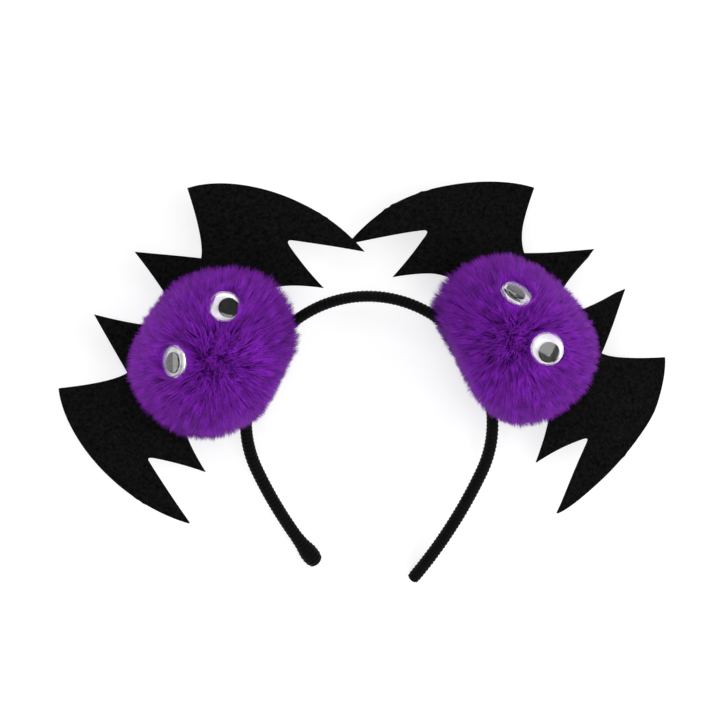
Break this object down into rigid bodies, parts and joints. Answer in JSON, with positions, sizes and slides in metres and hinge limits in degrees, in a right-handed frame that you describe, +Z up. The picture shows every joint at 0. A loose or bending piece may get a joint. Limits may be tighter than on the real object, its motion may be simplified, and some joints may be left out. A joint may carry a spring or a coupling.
{
  "type": "bat headband",
  "caption": "Thin ribbon-covered headband with a felt bat at each side, each bat on a furry pompom body with loose-pupil eyes.",
  "frame": {"origin": "middle of the bounding box on the table that the headband lies on", "axes": "+Z up from the table, +Y towards the top of the band's arc, +X to the right across both bats"},
  "size_m": [0.2778, 0.1856, 0.0709],
  "materials": {
    "ribbon": "matte ribbed ribbon",
    "felt": "matte felt",
    "fur": "faux fur",
    "eye_white": "smooth",
    "eye_black": "smooth",
    "eye_clear": "clear"
  },
  "bodies": {
    "root": {"headband": "ribbon", "felt_bat_left": "felt", "pompom_left": "fur", "eye_back_left_upper": "eye_white", "eye_dome_left_upper": "eye_clear", "eye_back_left_lower": "eye_white", "eye_dome_left_lower": "eye_clear", "felt_bat_right": "felt", "pompom_right": "fur", "eye_back_right_upper": "eye_white", "eye_dome_right_upper": "eye_clear", "eye_back_right_lower": "eye_white", "eye_dome_right_lower": "eye_clear"},
    "pupil_left_upper": {"eye_pupil_left_upper": "eye_black"},
    "pupil_left_lower": {"eye_pupil_left_lower": "eye_black"},
    "pupil_right_upper": {"eye_pupil_right_upper": "eye_black"},
    "pupil_right_lower": {"eye_pupil_right_lower": "eye_black"}
  },
  "joints": [
    {"name": "pupil_roll_left_upper", "type": "hinge", "parent": "root", "child": "pupil_left_upper", "pos_m": [-0.0616, 0.03362, 0.05924], "axis": [0.0651, 0.3689, 0.9272], "continuous": true},
    {"name": "pupil_roll_left_lower", "type": "hinge", "parent": "root", "child": "pupil_left_lower", "pos_m": [-0.08316, 0.00992, 0.0639], "axis": [-0.766, 0, 0.6428], "continuous": true},
    {"name": "pupil_roll_right_upper", "type": "hinge", "parent": "root", "child": "pupil_right_upper", "pos_m": [0.0679, 0.03952, 0.0601], "axis": [0.433, 0.75, 0.5], "continuous": true},
    {"name": "pupil_roll_right_lower", "type": "hinge", "parent": "root", "child": "pupil_right_lower", "pos_m": [0.08106, 0.01553, 0.06463], "axis": [0.0872, 0, 0.9962], "continuous": true}
  ]
}
